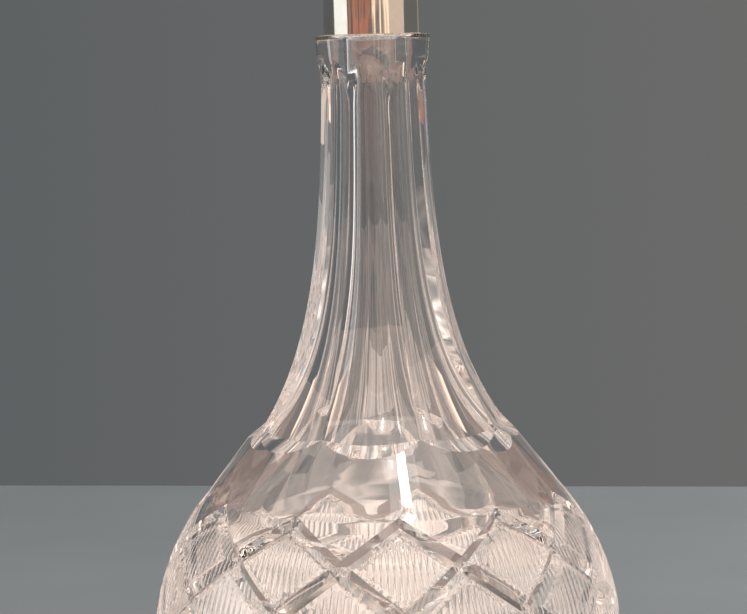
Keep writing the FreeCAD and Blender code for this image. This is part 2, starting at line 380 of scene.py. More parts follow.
@dataclass
class Shell:
    """Collects points and faces until they become one mesh."""
    points: list[Array] = field(default_factory=list)
    quads: list[Array] = field(default_factory=list)
    triangles: list[Array] = field(default_factory=list)
    quad_slots: list[Array] = field(default_factory=list)
    triangle_slots: list[Array] = field(default_factory=list)
    count: int = 0

    def add_points(self, points: Array) -> Array:
        """Adds points.

        Args:
            points: the points, with x, y and z last.
        Returns:
            Their numbers in the mesh.
        """
        numbers = np.arange(len(points)) + self.count
        self.points.append(points)
        self.count += len(points)
        return numbers

    def add_quads(self, quads: Array, slot: int = 0) -> None:
        """Adds four-cornered faces with a material slot."""
        self.quads.append(quads)
        self.quad_slots.append(np.full(len(quads), slot))

    def add_triangles(self, triangles: Array, slot: int = 0) -> None:
        """Adds triangles with a material slot."""
        self.triangles.append(triangles)
        self.triangle_slots.append(np.full(len(triangles), slot))

    def join(self, lower: Array, upper: Array, slot: int = 0) -> None:
        """Joins two rings of as many points with quads that face away from the path's left."""
        self.add_quads(np.stack([lower, np.roll(lower, -1), np.roll(upper, -1), upper], -1), slot)

    def cap(self, ring: Array, centre: Array, start: bool, slot: int = 0) -> None:
        """Closes a ring with a fan to a centre point.

        Args:
            ring: the ring's numbers.
            centre: the point's place.
            start: True where the path starts at this centre, False where it ends there.
            slot: material slot.
        """
        middle = np.full(len(ring), self.add_points(np.array([centre]))[0])
        following = np.roll(ring, -1)
        fan = [middle, following, ring] if start else [ring, following, middle]
        self.add_triangles(np.stack(fan, -1), slot)

    def build(self, name: str, sharp_degrees: float) -> bpy.types.Object:
        """Makes the mesh and its object.

        Args:
            name: of both.
            sharp_degrees: edges with a sharper turn than this stay crisp.
        Returns:
            The object, at the origin.
        """
        mesh = bpy.data.meshes.new(name)
        quads = np.concatenate(self.quads) if self.quads else np.zeros((0, 4), int)
        triangles = np.concatenate(self.triangles) if self.triangles else np.zeros((0, 3), int)
        mesh.from_pydata((np.concatenate(self.points) * MM).tolist(), [], quads.tolist() + triangles.tolist())
        slots = np.concatenate(self.quad_slots + self.triangle_slots).astype(np.int32)
        mesh.polygons.foreach_set("material_index", slots)
        mesh.polygons.foreach_set("use_smooth", np.ones(len(slots), bool))
        mesh.update()
        mesh.set_sharp_from_angle(angle=math.radians(sharp_degrees))
        mesh.validate()
        piece = bpy.data.objects.new(name, mesh)
        bpy.context.scene.collection.objects.link(piece)
        return piece


def lathe_rings(shell: Shell, profile: Array, columns: int, slot: int = 0,
                previous: Array | None = None) -> tuple[Array, Array]:
    """Adds rings that turn a profile of (radius, height) rows about the axis, joined one to the next.

    Args:
        shell: where they go.
        profile: rows of radius and height in mm.
        columns: points in each ring.
        slot: material slot of the new faces.
        previous: a ring to join the first one to.
    Returns:
        The first and the last ring.
    """
    azimuth = FIRST_AZIMUTH + 360.0 * np.arange(columns) / columns
    shape = (len(profile), columns)
    points = around(np.broadcast_to(profile[:, :1], shape), np.broadcast_to(profile[:, 1:], shape),
                    np.broadcast_to(azimuth, shape))
    numbers = shell.add_points(points)
    shell.add_quads(ring_quads(len(profile), columns, int(numbers[0])), slot)
    rings = numbers.reshape(shape)
    if previous is not None:
        shell.join(previous, rings[0], slot)
    return rings[0], rings[-1]


def bend(start: tuple[float, float], middle: tuple[float, float], end: tuple[float, float],
         count: int) -> Array:
    """Rows of a profile along the circle through three points, both ends included.

    The centre solves the two equations that put it at one distance from all three points.

    Args:
        start: radius and height of the first point.
        middle: a point between the two.
        end: the last point.
        count: how many rows.
    Returns:
        Rows of radius and height.
    """
    a, b, c = (np.array(p, float) for p in (start, middle, end))
    centre = np.linalg.solve(2 * np.array([b - a, c - a]), np.array([b @ b - a @ a, c @ c - a @ a]))
    angles = np.unwrap([math.atan2(*(p - centre)[::-1]) for p in (a, b, c)])
    turn = np.linspace(angles[0], angles[2], count)
    radius = np.linalg.norm(a - centre)
    return centre + radius * np.stack([np.cos(turn), np.sin(turn)], -1)


# ---- Crystal body ------------------------------------------------------------------------------------------
@dataclass
class CrystalBody:
    """The blown and cut body: foot with its star, cut globe, shoulder, fluted neck, ring, spigot, hollow."""
    globe_r: float = 67.5
    globe_z: float = 54.2
    foot_r: float = 38.5
    foot_bevel: float = 0.8
    dish_r: float = 31.0
    dish_depth: float = 2.0
    shoulder_slope: float = 0.786
    shoulder_top_z: float = 114.6
    neck_r: float = 14.5
    ring_z: float = 217.0
    ledge_z: float = 228.6
    ledge_r: float = 15.8
    cavity_r: float = 61.6
    cavity_z: float = 55.2
    cavity_tilt: float = 33.0       # latitude where the hollow's globe bends into its shoulder
    cavity_bend: float = 32.0
    cavity_slope: float = 1.0
    cavity_top_z: float = 110.0
    floor_z: float = 11.0
    floor_fillet: float = 22.0
    bore_r: float = 7.0
    spigot_r: float = 12.9
    spigot_top_z: float = 251.0
    socket_bottom_z: float = 229.5
    socket_top_r: float = 9.4
    socket_bottom_r: float = 8.5
    socket_step: float = 1.2
    # flutes
    flutes: int = 8
    flute_azimuth: float = -6.0
    flute_tip_z: float = 113.8
    flute_foot_z: float = 118.0
    flute_shelf: float = 2.6
    flute_apex_z: float = 221.8
    flute_head_z: float = 215.2
    flute_run_out: float = 9.0
    flute_hollow: float = 0.02      # extra depth at a flute's middle, over the neck's radius
    flute_arch: float = 2.2         # power that shapes the arch at a flute's head
    flute_dense: float = 0.86       # share of a flute's height below its closely spaced rings
    # lozenges
    lozenges: int = 11
    lozenge_steps: int = 16         # grid lines along one side of a lozenge
    mitre_top: float = 0.77
    mitre_bottom: float = -0.628
    mitre_half_rows: int = 6
    margin: int = 2                 # grid rows of plain glass above and below the cuts
    cut_slant: float = 0.85         # mean cosine of the globe's latitude along a cut
    mitre_half_width: float = 2.1
    mitre_depth: float = 1.6
    stroke_depth: float = 0.25     # depth of the fine upright strokes inside a lozenge
    stroke_waver: float = 0.6       # share of that depth lost between two crossings of a stroke
    # star
    star_points: int = 22
    star_r: float = 27.0
    star_depth: float = 1.4
    star_web: float = 0.42          # share of its radius that the star loses between two rays
    star_rings: int = 22
    star_rise: float = 0.35         # height of the star's centre over the dish
    # the ripple of the blown hollow
    ripple: float = 0.12

    def __post_init__(self) -> None:
        """Works out where the outline's arcs, cone and flare meet."""
        self.globe_end_r = self.globe_r / math.hypot(1, self.shoulder_slope)
        self.globe_end_z = self.globe_z + self.globe_end_r * self.shoulder_slope
        self.flare_r = self.globe_end_r - self.shoulder_slope * (self.shoulder_top_z - self.globe_end_z)
        tilt = math.radians(self.cavity_tilt)
        slope = math.atan(self.cavity_slope)
        inner = self.cavity_r - self.cavity_bend
        self.bend_centre = (inner * math.cos(tilt), self.cavity_z + inner * math.sin(tilt))
        self.bend_end = (self.bend_centre[0] + self.cavity_bend * math.cos(slope),
                         self.bend_centre[1] + self.cavity_bend * math.sin(slope))
        self.cavity_top_r = self.bend_end[0] - self.cavity_slope * (self.cavity_top_z - self.bend_end[1])
        self.azimuths = FIRST_AZIMUTH + 360.0 * np.arange(COLUMNS) / COLUMNS

    # -- outlines
    def outer_radius(self, z: Array) -> Array:
        """Radius of the uncut outside at height z: a circle up to the tangent cone, then the cone, then a
        flare whose drop decays exponentially to the neck's radius.

        Args:
            z: the heights.
        Returns:
            The radii.
        """
        globe = np.sqrt(np.maximum(self.globe_r ** 2 - (z - self.globe_z) ** 2, 0))
        cone = self.globe_end_r - self.shoulder_slope * (z - self.globe_end_z)
        drop = self.flare_r - self.neck_r
        flare = self.neck_r + drop * np.exp(-(z - self.shoulder_top_z) * self.shoulder_slope / drop)
        return np.where(z < self.globe_end_z, globe, np.where(z < self.shoulder_top_z, cone, flare))

    def bore_radius(self, z: Array) -> Array:
        """Radius of the hollow above the globe: a flare whose drop decays exponentially to the bore."""
        drop = self.cavity_top_r - self.bore_r
        return self.bore_r + drop * np.exp(-(z - self.cavity_top_z) * self.cavity_slope / drop)

    # -- bands
    def underside(self, shell: Shell) -> Array:
        """Adds the dished underside with its star and returns the ring at the dish's edge.

        The dish is a parabola. Each ray of the star is a V whose depth falls off with the distance from its
        own centre line and runs out at a pointed tip, so the edge of the star is a row of points.

        Args:
            shell: the mesh that it goes into.
        Returns:
            The ring at the dish's edge.
        """
        turn = (self.azimuths - FIRST_AZIMUTH) * self.star_points / 360.0
        off = np.abs(turn - np.round(turn)) * 2          # 0 on a ray's line, 1 midway between two rays
        edge = self.star_r * (1 - self.star_web * off)
        share = np.linspace(0.04, 1.0, self.star_rings)[:, None]
        radius = share * edge
        cut = self.star_depth * (1 - off) * np.sin(np.pi * np.clip(share, 0, 1)) ** 0.6
        height = self.dish_depth * (1 - (radius / self.dish_r) ** 2) + cut
        points = around(radius, height, np.broadcast_to(self.azimuths, radius.shape))
        numbers = shell.add_points(points)
        shell.add_quads(ring_quads(len(share), COLUMNS, int(numbers[0])))
        rings = numbers.reshape(radius.shape)
        shell.cap(rings[0], np.array([0, 0, self.dish_depth + self.star_rise]), start=True)
        # rings from the star's edge out to the dish's edge
        outward = np.linspace(0, 1, 5)[1:, None]
        radius = edge + (self.dish_r - edge) * outward
        height = self.dish_depth * (1 - (radius / self.dish_r) ** 2)
        numbers = shell.add_points(around(radius, height, np.broadcast_to(self.azimuths, radius.shape)))
        shell.add_quads(ring_quads(len(outward), COLUMNS, int(numbers[0])))
        outer = numbers.reshape(radius.shape)
        shell.join(rings[-1], outer[0])
        return outer[-1]

    def grid(self) -> tuple[Array, Array, Array]:
        """Numbers of the lattice's rows, and of the two grid lines that cross at each point.

        A row holds one point per column. Odd rows stand half a step on from even ones, so the points of two
        neighbouring rows are the corners of diagonal cells.

        Returns:
            The row numbers, and the numbers of the two grid lines.
        """
        low, high = -self.margin, self.mitre_half_rows * self.lozenge_steps + self.margin
        rows = np.arange(low, high + 1)[:, None]
        across = 2 * np.arange(COLUMNS)[None, :] + rows % 2
        return rows, (rows + across) // 2, (rows - across) // 2

    def grid_places(self, first: Array, second: Array) -> tuple[Array, Array]:
        """Azimuth and conformal latitude of each point of the grid.

        Azimuth is half a lozenge's turn times g(first) less g(second), and the conformal latitude is the
        highest one less the height of a half row times g(first) plus g(second). Here g counts lozenges and
        places the grid lines: one on each cut, one on each of its rims and the rest evenly between.

        Args:
            first: number of the grid line of the first family.
            second: the same for the second family.
        Returns:
            The azimuths and the conformal latitudes.
        """
        n = self.lozenge_steps
        half_turn = 180.0 / self.lozenges
        row_rise = (self.mitre_top - self.mitre_bottom) / self.mitre_half_rows
        side = math.hypot(math.radians(half_turn), row_rise) * self.globe_r * self.cut_slant
        tilt = math.atan2(row_rise, math.radians(half_turn))
        rim = self.mitre_half_width / math.sin(2 * tilt) / side
        within = np.concatenate([[0.0], np.linspace(rim, 1 - rim, n - 1)])
        one = first // n + within[first % n]
        two = second // n + within[second % n]
        return FIRST_AZIMUTH + half_turn * (one - two), self.mitre_top - row_rise * (one + two)

    def in_whole_lozenge(self, first: Array, second: Array, least: int) -> Array:
        """True for points or cells that lie in a lozenge whose top and bottom corners are both in the band.

        Args:
            first: number of the grid line of the first family.
            second: the same for the second family.
            least: the smallest number of steps from a cut that counts as inside.
        Returns:
            True or false for each.
        """
        n = self.lozenge_steps
        i, j = first % n, second % n
        inside = (i >= least) & (i < n - 1) & (j >= least) & (j < n - 1)
        top_row = (first - i) + (second - j)
        return inside & (top_row >= 0) & (top_row + 2 * n <= self.mitre_half_rows * n)

    def lattice(self, shell: Shell) -> tuple[Array, Array]:
        """Adds the band of mitre cuts and strokes and returns its lowest and highest ring.

        A point is sunk by the mitre's depth on a cut. Inside a lozenge the even rows are sunk by the strokes'
        depth and the odd rows aren't, which leaves fine upright strokes. Each cell has a middle point: half
        the mitre's depth between a cut and its rim, and part of a stroke's depth on a stroke.

        Args:
            shell: the mesh that it goes into.
        Returns:
            The lowest and the highest ring.
        """
        n = self.lozenge_steps
        rows, first, second = self.grid()
        turn, conformal = self.grid_places(first, second)
        in_band = (rows >= 0) & (rows <= self.mitre_half_rows * n)
        on_cut = ((first % n == 0) | (second % n == 0)) & in_band
        stroke = self.stroke_depth * (1 - rows % 2)
        plain = np.where(self.in_whole_lozenge(first, second, 2), stroke, 0.0)
        depth = np.where(on_cut, self.mitre_depth, plain)
        numbers = shell.add_points(self.on_globe(turn, conformal, depth)).reshape(depth.shape)

        # every cell starts at its top corner and ends two rows further down
        k = np.arange(COLUMNS)[None, :]
        index = np.arange(len(rows) - 2)[:, None]
        odd = rows[:-2] % 2
        right = (k + odd) % COLUMNS
        left = (k + odd - 1) % COLUMNS
        corners = ((index, k), (index + 1, left), (index + 2, k), (index + 1, right))
        mean_depth = np.mean([depth[corner] for corner in corners], axis=0)
        middle = self.stroke_depth * self.stroke_waver * (1 - odd)
        cell_depth = np.where(self.in_whole_lozenge(first[:-2], second[:-2], 1), middle, mean_depth)
        places = self.on_globe((turn[:-2] + turn[2:]) / 2, (conformal[:-2] + conformal[2:]) / 2, cell_depth)
        centre = shell.add_points(places).reshape(cell_depth.shape)
        for one, two in zip(corners, corners[1:] + corners[:1]):
            shell.add_triangles(np.stack([numbers[one], numbers[two], centre], -1).reshape(-1, 3))

        # half cells that make the top and bottom edges straight rings
        top, bottom = numbers[0], numbers[-1]
        above = (np.arange(COLUMNS) + rows[0, 0] % 2) % COLUMNS
        below = (np.arange(COLUMNS) + rows[-1, 0] % 2) % COLUMNS
        shell.add_triangles(np.stack([top, numbers[1, above], np.roll(top, -1)], -1))
        shell.add_triangles(np.stack([bottom, np.roll(bottom, -1), numbers[-2, below]], -1))
        return bottom, top

    def on_globe(self, azimuth: Array, conformal: Array, depth: Array) -> Array:
        """Points of the globe: the latitude is twice the arctangent of the conformal latitude's exponential,
        less a right angle, and depth is taken off along the normal.

        Args:
            azimuth: in degrees.
            conformal: the conformal latitudes.
            depth: what is taken off, in mm.
        Returns:
            The points.
        """
        latitude = 2 * np.arctan(np.exp(conformal)) - math.pi / 2
        radius = (self.globe_r - depth) * np.cos(latitude)
        height = self.globe_z + (self.globe_r - depth) * np.sin(latitude)
        return around(radius, height, azimuth)

    def flute_share(self) -> Array:
        """Place of each column across its flute: 0 at the middle, 1 or -1 on an arris."""
        turn = (self.azimuths - self.flute_azimuth) * self.flutes / 360.0
        return (turn - np.round(turn)) * 2

    def shoulder_and_neck(self, shell: Shell, ring: Array) -> Array:
        """Adds the plain shoulder, the flutes and the plain ring above them, and returns the last ring.

        Each flute's lower edge dips by the square of the place across it, and its upper edge is an arch. A
        flute is as deep as a flat panel between its two arrises, plus a slight hollow. Below, a short shelf
        takes it to that depth; above, it runs out along a circle.

        Args:
            shell: the mesh that it goes into.
            ring: the ring that it stands on.
        Returns:
            The last ring.
        """
        x = self.flute_share()
        half = math.pi / self.flutes
        foot = self.flute_tip_z + (self.flute_foot_z - self.flute_tip_z) * x ** 2
        arch = 1 - np.abs(x) ** self.flute_arch
        head = self.flute_head_z + (self.flute_apex_z - self.flute_head_z) * arch
        start = np.concatenate(shell.points)[ring]
        start_z = start[:, 2]
        start_azimuth = np.degrees(np.arctan2(start[:, 0], -start[:, 1]))
        drift = (start_azimuth - self.azimuths + 180) % 360 - 180
        panel = 1 - math.cos(half) / np.cos(half * x) + self.flute_hollow * (1 - x ** 2)
        share = np.linspace(0, 1, 9)[1:, None]
        height = start_z + (foot - start_z) * share
        azimuth = self.azimuths + drift * (1 - share)
        rings = [around(self.outer_radius(height), height, azimuth)]
        shelf = foot + self.flute_shelf * (1 - x ** 2) + EASE
        shelf_radius = self.outer_radius(shelf) * (1 - panel)
        rings.append(around(shelf_radius, shelf, self.azimuths))
        share = np.concatenate([np.linspace(0, self.flute_dense, 34)[1:],
                                np.linspace(self.flute_dense, 1, 12)[1:]])[:, None]
        height = shelf + (head - shelf) * share
        run_out = np.clip((head - height) / self.flute_run_out, 0, 1)
        depth = panel * (1 - (1 - run_out) ** 2)
        radius = self.upper_radius(height) * (1 - depth)
        rings.append(around(radius, height, np.broadcast_to(self.azimuths, height.shape)))
        top = self.ledge_z - EASE
        share = np.linspace(0, 1, 6)[1:, None]
        height = head + (top - head) * share
        rings.append(around(self.upper_radius(height), height, np.broadcast_to(self.azimuths, height.shape)))
        numbers = shell.add_points(np.concatenate(rings)).reshape(-1, COLUMNS)
        shell.add_quads(ring_quads(len(numbers), COLUMNS, int(numbers[0, 0])))
        shell.join(ring, numbers[0])
        return numbers[-1]

    def upper_radius(self, z: Array) -> Array:
        """Radius of the uncut neck and of the ring, which widens in a straight line to the ledge.

        Args:
            z: the heights.
        Returns:
            The radii.
        """
        share = np.clip((z - self.ring_z) / (self.ledge_z - self.ring_z), 0, 1)
        neck = self.outer_radius(z)
        return neck + (self.ledge_r - self.neck_r) * share

    def hollow_profile(self) -> Array:
        """Rows of the inside below the socket: bore, flare, globe, fillet and floor.

        Returns:
            The rows, each a radius and a height.
        """
        top = self.socket_bottom_z - self.socket_step
        heights = self.cavity_top_z + (top - self.cavity_top_z) * np.linspace(1, 0, 34) ** 1.4
        flare = np.stack([self.bore_radius(heights), heights], -1)
        fillet_z = self.floor_z + self.floor_fillet
        fillet_r = math.sqrt((self.cavity_r - self.floor_fillet) ** 2 - (self.cavity_z - fillet_z) ** 2)
        tilt = math.atan2(self.cavity_z - fillet_z, fillet_r)
        edge = math.radians(self.cavity_tilt)
        cone = np.linspace([self.cavity_top_r, self.cavity_top_z], self.bend_end, 8)[1:]
        angles = np.linspace(math.atan(self.cavity_slope), edge, 10)[1:]
        turn = np.array(self.bend_centre) + self.cavity_bend * np.stack([np.cos(angles), np.sin(angles)], -1)
        angles = np.linspace(edge, -tilt, 38)[1:]
        globe = np.stack([self.cavity_r * np.cos(angles), self.cavity_z + self.cavity_r * np.sin(angles)], -1)
        angles = np.linspace(-tilt, -math.pi / 2, 14)[1:]
        fillet = np.stack([fillet_r + self.floor_fillet * np.cos(angles),
                           fillet_z + self.floor_fillet * np.sin(angles)], -1)
        floor = np.stack([np.linspace(fillet_r, 1.0, 8)[1:], np.full(7, self.floor_z)], -1)
        return np.concatenate([flare, cone, turn, globe, fillet, floor])

    def build(self) -> bpy.types.Object:
        """Makes the whole body as one closed mesh and returns its object.

        Returns:
            Its object.
        """
        shell = Shell()
        edge = self.underside(shell)
        bevel_r = math.sqrt(self.globe_r ** 2 - (self.globe_z - self.foot_bevel) ** 2)
        low_z = self.globe_z + self.globe_r * math.tanh(self.mitre_bottom)
        rise = np.linspace(self.foot_bevel, low_z, 7)[1:-1]
        foot = np.concatenate([
            [[self.dish_r + 0.3, 0.0], [self.foot_r, 0.0], [bevel_r, self.foot_bevel]],
            np.stack([self.outer_radius(rise), rise], -1)])
        _, ring = lathe_rings(shell, foot, COLUMNS, 0, edge)
        lowest, highest = self.lattice(shell)
        shell.join(ring, lowest)
        ring = self.shoulder_and_neck(shell, highest)
        spigot = np.array([
            [self.ledge_r - EASE, self.ledge_z], [self.spigot_r, self.ledge_z],
            [self.spigot_r, self.spigot_top_z - 0.4], [self.spigot_r - 0.4, self.spigot_top_z],
            [self.socket_top_r + 0.3, self.spigot_top_z]])
        _, ring = lathe_rings(shell, spigot, COLUMNS, 0, ring)
        share = np.linspace(0, 1, 6)
        socket = np.stack([
            self.socket_top_r + (self.socket_bottom_r - self.socket_top_r) * share,
            self.spigot_top_z - 0.3 + (self.socket_bottom_z - self.spigot_top_z + 0.3) * share], -1)
        _, ring = lathe_rings(shell, socket, COLUMNS, 1, ring)
        _, ring = self.hollow(shell, ring)
        shell.cap(ring, np.array([0, 0, self.floor_z]), start=False)
        return shell.build("cut_crystal_body", 20.0)

    def hollow(self, shell: Shell, previous: Array) -> tuple[Array, Array]:
        """Adds the inside and returns its first and last ring. It has the gentle ripple of blown glass: three
        sine waves of azimuth and height, faded out at the socket and the floor.

        Args:
            shell: the mesh that it goes into.
            previous: the ring that the inside is joined to.
        Returns:
            Its first and last ring.
        """
        profile = self.hollow_profile()
        radius, height = profile[:, :1], profile[:, 1:]
        angle = np.radians(self.azimuths)[None, :]
        wave = (np.sin(3 * angle + height / 17) + np.sin(5 * angle - height / 11 + 1.0)
                + np.sin(2 * angle + height / 7 + 2.0)) / 3
        fade = np.clip((220 - height) / 20, 0, 1) * np.clip((radius - 5) / 20, 0.15, 1)
        wavy = radius + self.ripple * wave * fade
        shape = wavy.shape
        numbers = shell.add_points(around(wavy, np.broadcast_to(height, shape),
                                          np.broadcast_to(self.azimuths, shape)))
        shell.add_quads(ring_quads(shape[0], COLUMNS, int(numbers[0])))
        rings = numbers.reshape(shape)
        shell.join(previous, rings[0])
        return rings[0], rings[-1]

    def dress(self, piece: bpy.types.Object, wardrobe: Wardrobe) -> None:
        """Gives the body its finishes and ties it to the frame.

        Args:
            piece: the object that is dressed.
            wardrobe: holds the materials.
        """
        piece.data.materials.append(wardrobe.material(Finish.CRYSTAL))
        piece.data.materials.append(wardrobe.material(Finish.GROUND))
        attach(piece, "decanter")
        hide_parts("crystal_body")


# ---- Silver collar -----------------------------------------------------------------------------------------
@dataclass
class SilverCollar:
    """The collar: a spun sleeve and a lip with a round bead, and the plaster that beds them."""
    sleeve_r: float = 13.75
    sleeve_wall: float = 0.5
    sleeve_top_z: float = 252.0
    ledge_z: float = 228.6
    bead_r: float = 1.3
    lip_reach: float = 1.1
    lip_top_z: float = 254.4
    mouth_r: float = 10.1
    sheet: float = 0.7
    end_ring: float = 0.1
    columns: int = 128

    def sleeve(self) -> bpy.types.Object:
        """The sleeve: a tube with rounded edges, closed all round.

        Returns:
            Its object.
        """
        inside = self.sleeve_r - self.sleeve_wall
        rim = self.sleeve_wall / 2
        low, high = self.ledge_z + EASE, self.sleeve_top_z
        # rings close to both ends keep the shading of the long wall flat
        heights = np.concatenate([[low], np.linspace(low + self.end_ring, high - self.end_ring, 9), [high]])
        outer = np.stack([np.full(len(heights), self.sleeve_r), heights], -1)
        inner = np.stack([np.full(3, inside), np.linspace(high, low, 3)], -1)
        foot = bend((inside, low), (inside + rim, self.ledge_z), (self.sleeve_r, low), 7)
        shell = Shell()
        first, last = lathe_rings(shell, np.concatenate([outer, inner, foot[1:-1]]), self.columns)
        shell.join(last, first)
        return shell.build("silver_collar_sleeve", 40.0)

    def lip(self) -> bpy.types.Object:
        """The lip: a flat sheet over the rim that rolls into a bead.

        Returns:
            Its object.
        """
        bead = (self.sleeve_r + self.lip_reach, self.lip_top_z - self.bead_r)
        top = self.sleeve_top_z + self.sheet
        start = bead[0] - math.sqrt(self.bead_r ** 2 - (bead[1] - top) ** 2)
        end = bead[0] - math.sqrt(self.bead_r ** 2 - (bead[1] - self.sleeve_top_z) ** 2)
        rolled = bend((end, self.sleeve_top_z), (bead[0] + self.bead_r, bead[1]), (start, top), 26)
        edge = self.sheet / 2
        mouth = bend((self.mouth_r + edge, top), (self.mouth_r, top - edge),
                     (self.mouth_r + edge, self.sleeve_top_z), 9)
        shell = Shell()
        first, last = lathe_rings(shell, np.concatenate([rolled, mouth]), self.columns)
        shell.join(last, first)
        return shell.build("silver_collar_lip", 40.0)

    def dress(self, wardrobe: Wardrobe) -> list[bpy.types.Object]:
        """Builds the silver pieces, dresses them and the plaster, and returns the new pieces.

        Args:
            wardrobe: holds the materials.
        Returns:
            The new pieces.
        """
        pieces = []
        for piece, node in ((self.sleeve(), "collar_sleeve"), (self.lip(), "collar_lip")):
            piece.data.materials.append(wardrobe.material(Finish.SILVER))
            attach(piece, "decanter")
            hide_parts(node)
            pieces.append(piece)
        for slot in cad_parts["collar_plaster"].material_slots:
            slot.material = wardrobe.material(Finish.PLASTER)
        return pieces


# ---- Stopper -----------------------------------------------------------------------------------------------
@dataclass
class BallStopper:
    """The stopper: a ground plug, a waisted stem and a ball that is faceted all over."""
    plug_gap: float = 0.25
    plug_bottom_z: float = 230.6
    plug_edge: float = 0.8
    socket_bottom_z: float = 229.5
    socket_bottom_r: float = 8.5
    socket_top_z: float = 251.0
    socket_top_r: float = 9.4
    plug_top_z: float = 252.0
    stem_r: float = 8.2
    stem_z: float = 256.6
    stem_end: tuple[float, float] = (10.5, 262.5)
    ball_r: float = 21.0
    ball_z: float = 278.0
    facet_rows: tuple[float, ...] = (-56.0, -28.0, 0.0, 28.0, 56.0)
    facet_count: int = 10
    facet_azimuth: float = 7.5
    facet_inset: float = 0.935
    table_inset: float = 0.93
    columns: int = 80
    crisp_degrees: float = 14.0     # edges with a sharper turn than this stay crisp

    def socket_radius(self, z: float) -> float:
        """Radius of the socket's taper at height z."""
        taper = (self.socket_top_r - self.socket_bottom_r) / (self.socket_top_z - self.socket_bottom_z)
        return self.socket_bottom_r + taper * (z - self.socket_bottom_z)

    def facet_normals(self) -> tuple[Array, Array]:
        """Unit normals and distances of the facets' planes: staggered rows by latitude, then the table.

        Returns:
            The normals and the distances.
        """
        rows = np.repeat(np.arange(len(self.facet_rows)), self.facet_count)
        steps = np.tile(np.arange(self.facet_count), len(self.facet_rows))
        latitude = np.radians(np.array(self.facet_rows))[rows]
        azimuth = np.radians(self.facet_azimuth + 360.0 * (steps + rows % 2 / 2) / self.facet_count)
        normals = np.stack([np.cos(latitude) * np.sin(azimuth), -np.cos(latitude) * np.cos(azimuth),
                            np.sin(latitude)], -1)
        normals = np.concatenate([normals, [[0.0, 0.0, 1.0]]])
        insets = np.append(np.full(len(rows), self.facet_inset), self.table_inset)
        return normals, insets * self.ball_r

    def build(self) -> bpy.types.Object:
        """Makes the stopper: a lathed plug and stem, joined to the faceted ball by a boolean union.

        Returns:
            Its object.
        """
        shell = Shell()
        low = self.plug_bottom_z + self.plug_edge
        low_r = self.socket_radius(low) - self.plug_gap
        top_r = self.socket_radius(self.plug_top_z) - self.plug_gap
        plug = np.array([[low_r - self.plug_edge, self.plug_bottom_z], [low_r, low]])
        first, ring = lathe_rings(shell, plug, self.columns, 0)
        share = np.linspace(0, 1, 8)[1:, None]
        wall = np.array([low_r, low]) + (np.array([top_r, self.plug_top_z]) - np.array([low_r, low])) * share
        _, ring = lathe_rings(shell, wall, self.columns, 1, ring)
        stem = bend((top_r, self.plug_top_z), (self.stem_r, self.stem_z), self.stem_end, 22)[1:]
        _, ring = lathe_rings(shell, stem, self.columns, 0, ring)
        shell.cap(first, np.array([0, 0, self.plug_bottom_z]), start=True)
        shell.cap(ring, np.array([0, 0, self.stem_end[1]]), start=False)
        piece = shell.build("cut_crystal_stopper", self.crisp_degrees)
        ball = self.ball()
        union = piece.modifiers.new("union", "BOOLEAN")
        union.operation = "UNION"
        union.solver = "EXACT"
        union.object = ball
        shape = bpy.data.meshes.new_from_object(
            piece.evaluated_get(bpy.context.evaluated_depsgraph_get()))
        piece.modifiers.clear()
        piece.data = shape
        shape.name = "cut_crystal_stopper"
        bpy.data.objects.remove(ball)
        shape.polygons.foreach_set("use_smooth", np.ones(len(shape.polygons), bool))
        shape.set_sharp_from_angle(angle=math.radians(self.crisp_degrees))
        return piece

    def ball(self) -> bpy.types.Object:
        """The faceted ball: a cube trimmed by each facet's plane in turn, and closed after every trim.

        Returns:
            The ball, closed.
        """
        normals, distances = self.facet_normals()
        work = bmesh.new()
        bmesh.ops.create_cube(work, size=2.2 * self.ball_r * MM)
        for normal, distance in zip(normals, distances):
            geometry = work.verts[:] + work.edges[:] + work.faces[:]
            cut = bmesh.ops.bisect_plane(
                work, geom=geometry, plane_co=Vector(normal) * distance * MM, plane_no=Vector(normal),
                clear_outer=True)
            edges = [e for e in cut["geom_cut"] if isinstance(e, bmesh.types.BMEdge)]
            if edges:
                bmesh.ops.contextual_create(work, geom=edges)
        bmesh.ops.translate(work, verts=work.verts[:], vec=Vector((0, 0, self.ball_z * MM)))
        bmesh.ops.recalc_face_normals(work, faces=work.faces[:])
        mesh = bpy.data.meshes.new("faceted_ball")
        work.to_mesh(mesh)
        work.free()
        ball = bpy.data.objects.new("faceted_ball", mesh)
        bpy.context.scene.collection.objects.link(ball)
        return ball

    def dress(self, piece: bpy.types.Object, wardrobe: Wardrobe) -> None:
        """Gives the stopper its finishes and ties it to the frame.

        Args:
            piece: the object that is dressed.
            wardrobe: holds the materials.
        """
        piece.data.materials.clear()
        piece.data.materials.append(wardrobe.material(Finish.CRYSTAL))
        piece.data.materials.append(wardrobe.material(Finish.GROUND))
        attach(piece, "stopper")
        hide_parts("stopper")


# ---- Studio ------------------------------------------------------------------------------------------------
class Reach(Enum):
    """What a lamp lights."""
    ALL = "everything"
    DECANTER = "the decanter only"
    TABLE = "the table only"


CARD = "#FFE6D8"            # colour of the cards behind the decanter
LOW_STRIPS = (              # centre to the right, width and brightness of each low strip
    (-0.23, 0.07, 0.7), (-0.1, 0.06, 0.4), (0.02, 0.05, 0.4), (0.13, 0.06, 0.8), (0.25, 0.07, 0.7))
WEB_GAIN = 2.3              # brings a netted lamp back to about the brightness of an even one


